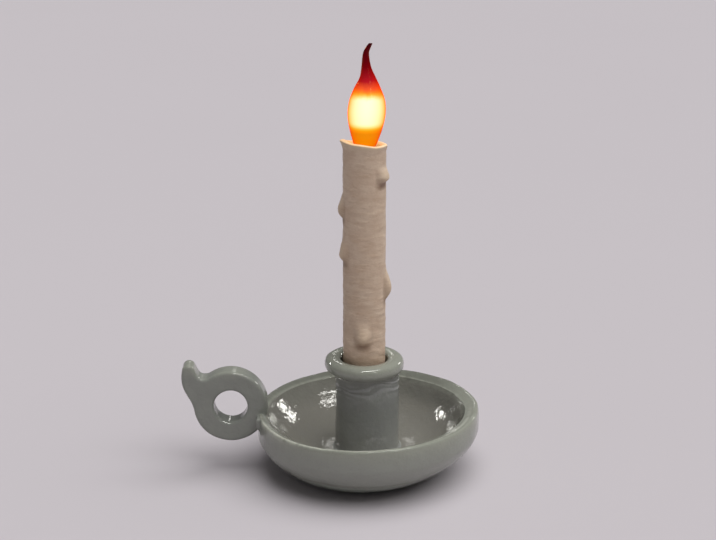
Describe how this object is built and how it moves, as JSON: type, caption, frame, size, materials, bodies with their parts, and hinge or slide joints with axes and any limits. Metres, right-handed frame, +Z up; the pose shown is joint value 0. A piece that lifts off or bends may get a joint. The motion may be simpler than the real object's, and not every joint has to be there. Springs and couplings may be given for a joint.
{
  "type": "table lamp",
  "caption": "Candle-shaped table lamp with a flame bulb, standing in a round dish with a ring handle.",
  "frame": {"origin": "centre of the candle's axis on the underside of the base pad, where the lamp stands on the table", "axes": "+Z up along the candle, +X to the right, away from the handle, -Y towards the viewer of the picture"},
  "size_m": [0.2847, 0.213, 0.4145],
  "materials": {
    "glaze": "glossy grey-green glaze, slightly uneven",
    "wax": "satin, wax-like, finely rippled",
    "flame_glass": "clear gloss, amber at the foot to dark red at the tip",
    "filament": "glowing phosphor",
    "clear_glass": "clear gloss",
    "cap_metal": "nickel-plated, rolled thread",
    "solder": "dull solder",
    "brass": "plain machined",
    "steel": "zinc-plated",
    "holder_ceramic": "matte, unglazed",
    "black_plastic": "fine moulded texture",
    "grey_plastic": "satin",
    "pad": "matte, fine texture",
    "foam": "closed-cell foam",
    "foil": "foil pouch",
    "board": "solder mask",
    "wire_red": "satin insulation",
    "wire_black": "satin insulation"
  },
  "bodies": {
    "root": {"dish": "glaze", "handle": "glaze", "socket_column": "glaze", "base_pad": "pad", "base_cover": "black_plastic", "cover_screw_1": "steel", "cover_screw_2": "steel", "cover_screw_3": "steel", "cover_insert_1": "brass", "cover_insert_2": "brass", "cover_insert_3": "brass", "battery_foam": "foam", "battery_cell": "foil", "control_board": "board", "board_screw_1": "steel", "board_screw_2": "steel", "switch_body": "black_plastic", "charge_bezel": "black_plastic", "charge_socket": "steel", "charge_board": "board", "charge_lead": "wire_black", "battery_lead": "wire_red", "stem_tube": "steel", "lower_washer": "steel", "lower_nut": "steel", "upper_nut": "steel", "lamp_wire_live": "wire_red", "lamp_wire_neutral": "wire_black", "candle_sleeve": "wax", "sleeve_seat": "black_plastic", "centring_ring": "black_plastic", "holder_cup": "holder_ceramic", "contact_carrier": "holder_ceramic", "holder_shell": "holder_ceramic", "holder_thread": "brass", "centre_contact": "brass", "terminal_screw_1": "brass", "terminal_screw_2": "brass"},
    "bulb_contact": {"bulb_tip_contact": "solder"},
    "bulb": {"flame_glass": "flame_glass", "bulb_cap": "cap_metal", "bulb_insulator": "black_plastic", "bulb_mount": "clear_glass", "filament_1": "filament", "filament_2": "filament", "filament_3": "filament", "filament_4": "filament", "filament_frame_lower": "steel", "filament_frame_upper": "steel", "bulb_driver": "board"},
    "button": {"power_button": "grey_plastic", "switch_plunger": "grey_plastic"}
  },
  "joints": [
    {"name": "bulb_rise", "type": "slide", "parent": "root", "child": "bulb_contact", "axis": [0, 0, 1], "range_m": [0, 0.0092]},
    {"name": "bulb_turn", "type": "hinge", "parent": "bulb_contact", "child": "bulb", "pos_m": [0, 0, 0.3], "axis": [0, 0, 1], "range_deg": [0, 1174]},
    {"name": "button_press", "type": "slide", "parent": "root", "child": "button", "axis": [0, 0, 1], "range_m": [0, 0.0008], "stiffness_N_per_m": 400}
  ],
  "couplings": [
    {"joint": "bulb_turn", "follows": "bulb_rise", "rad_per_m": 2226.5}
  ]
}
